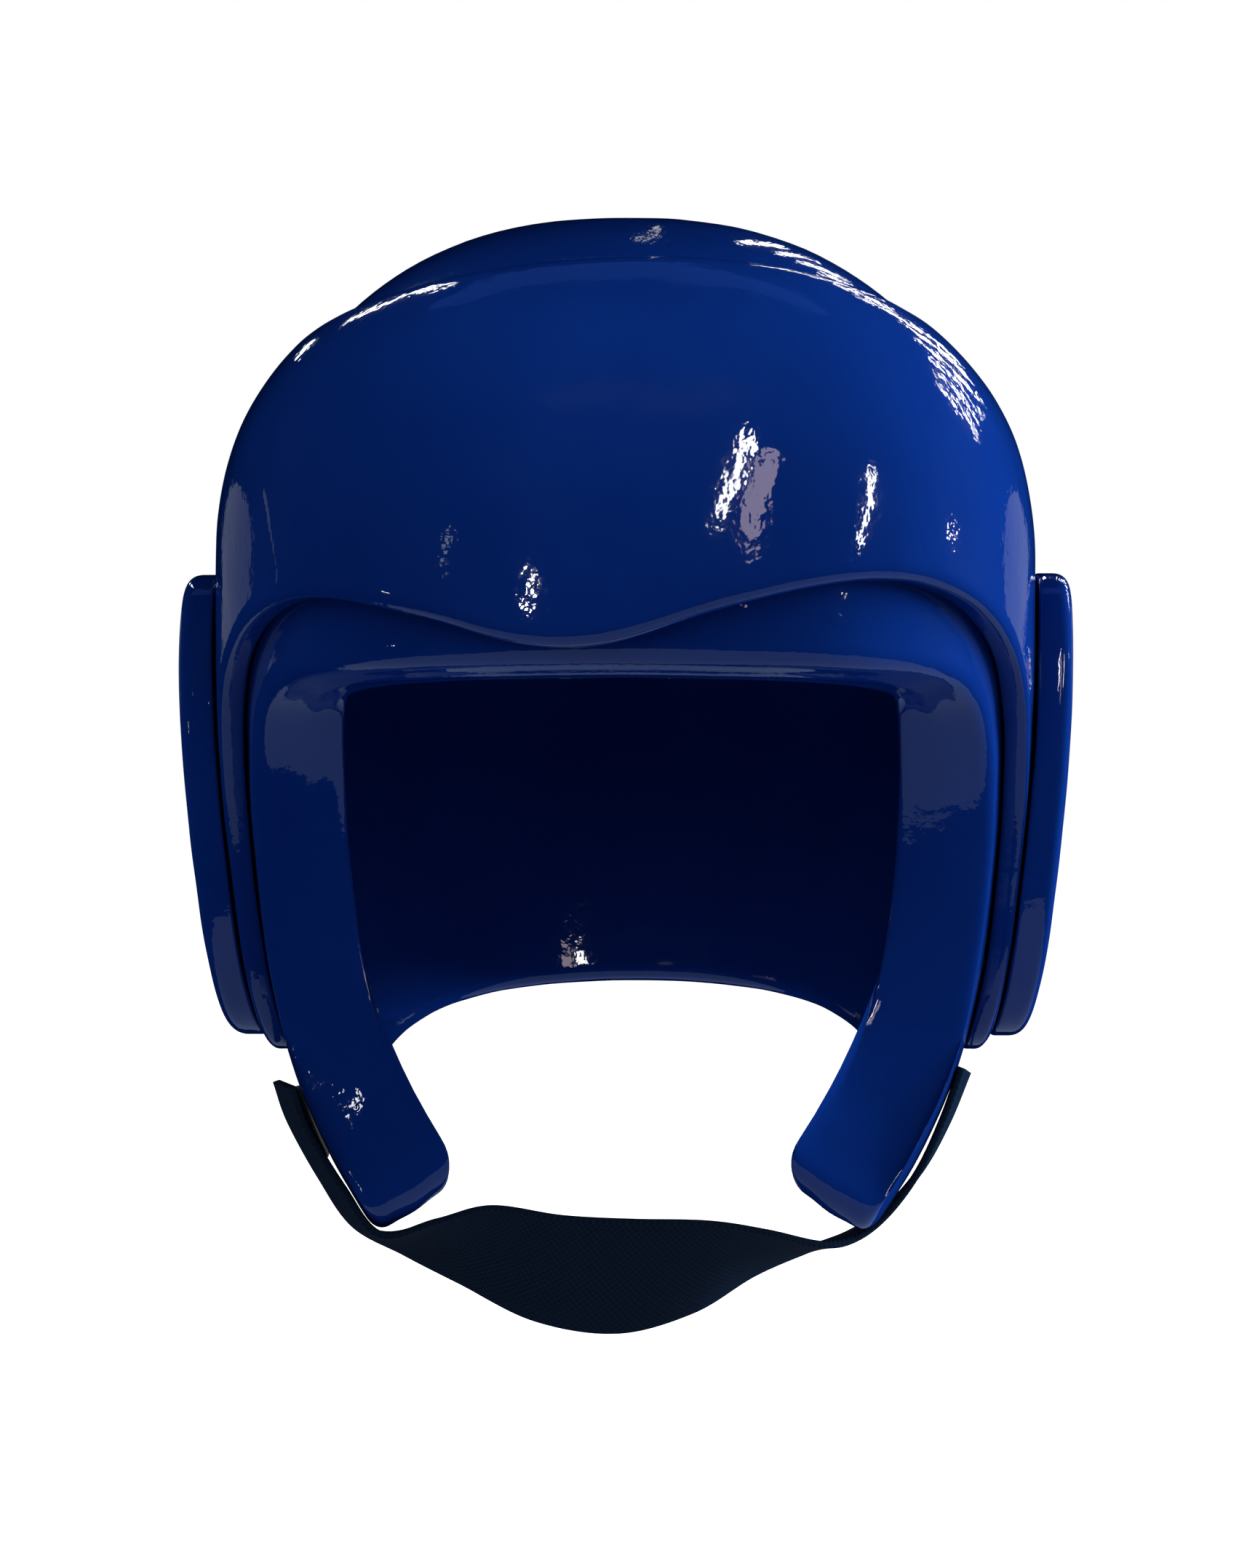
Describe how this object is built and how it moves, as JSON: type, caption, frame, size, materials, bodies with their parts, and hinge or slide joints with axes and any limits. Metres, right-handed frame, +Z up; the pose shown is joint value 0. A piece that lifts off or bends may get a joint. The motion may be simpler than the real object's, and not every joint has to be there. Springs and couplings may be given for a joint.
{
  "type": "dipped foam head guard",
  "caption": "Layered foam head guard dipped in glossy blue vinyl, with a full crown, gull-wing forehead pad, raised ear pads and a wide elastic chin strap",
  "frame": {"origin": "middle of the crown's inside, where the top of a head sits", "axes": "+Z up out of the crown, the face opening towards -Y, +X to the right in the picture"},
  "size_m": [0.2126, 0.2401, 0.2631],
  "materials": {
    "dipped_vinyl": "glossy vinyl dip over closed-cell foam",
    "webbing": "woven elastic webbing",
    "hook_loop": "napped hook-and-loop tape"
  },
  "bodies": {
    "root": {"inner_shell": "dipped_vinyl", "outer_band": "dipped_vinyl", "ear_pad_left": "dipped_vinyl", "ear_pad_right": "dipped_vinyl", "chin_strap": "webbing", "strap_fastener": "hook_loop"}
  },
  "joints": []
}
